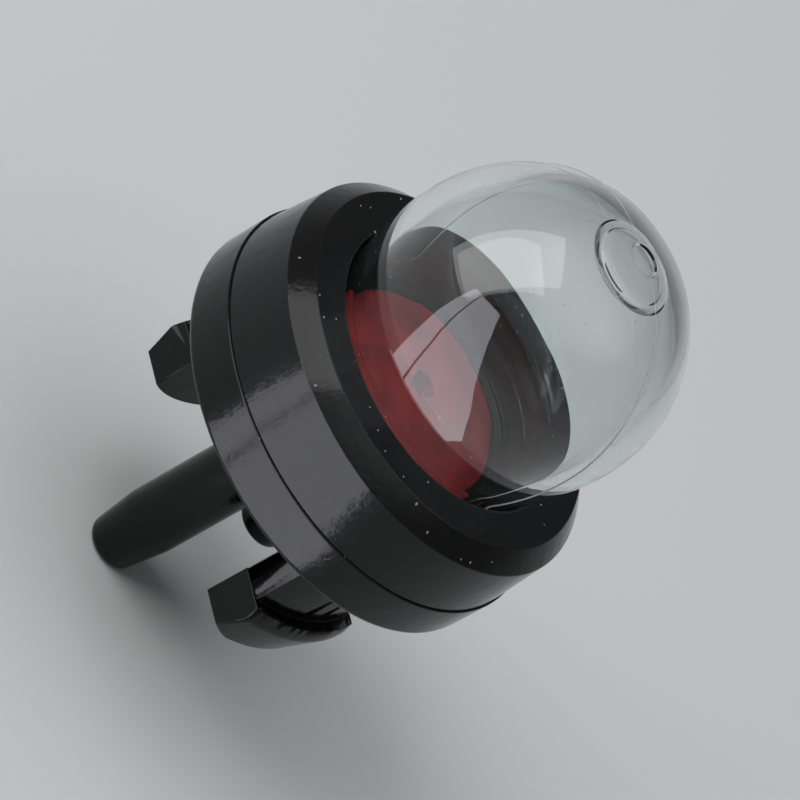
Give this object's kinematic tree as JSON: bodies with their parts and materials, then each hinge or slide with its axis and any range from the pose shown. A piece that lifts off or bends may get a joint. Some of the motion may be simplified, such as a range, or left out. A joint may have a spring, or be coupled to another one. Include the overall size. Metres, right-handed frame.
{
  "type": "primer bulb",
  "caption": "Snap-in fuel primer with a clear squeeze bulb, black collar, red one-way valve, two hose nipples and two snap hooks.",
  "frame": {"origin": "on the bulb's axis, in the plane where the underside of the collar seats on the outside of the panel", "axes": "+Z along the bulb's axis, out of the panel towards the top of the bulb; the two snap hooks stand on +X and -X, the long outlet nipple is offset towards -Y and the short inlet nipple towards +Y"},
  "size_m": [0.022, 0.022, 0.0345],
  "materials": {
    "base_plastic": "black moulded plastic, satin with a soft sheen",
    "valve_rubber": "dark red rubber, smooth and slightly dull",
    "clear_bulb": "clear flexible polymer with a faint haze",
    "cap_plastic": "black moulded plastic, satin, with fine dust on its top face"
  },
  "bodies": {
    "root": {"base_housing": "base_plastic", "duckbill_valve": "valve_rubber", "bulb": "clear_bulb", "retaining_cap": "cap_plastic"}
  },
  "joints": []
}
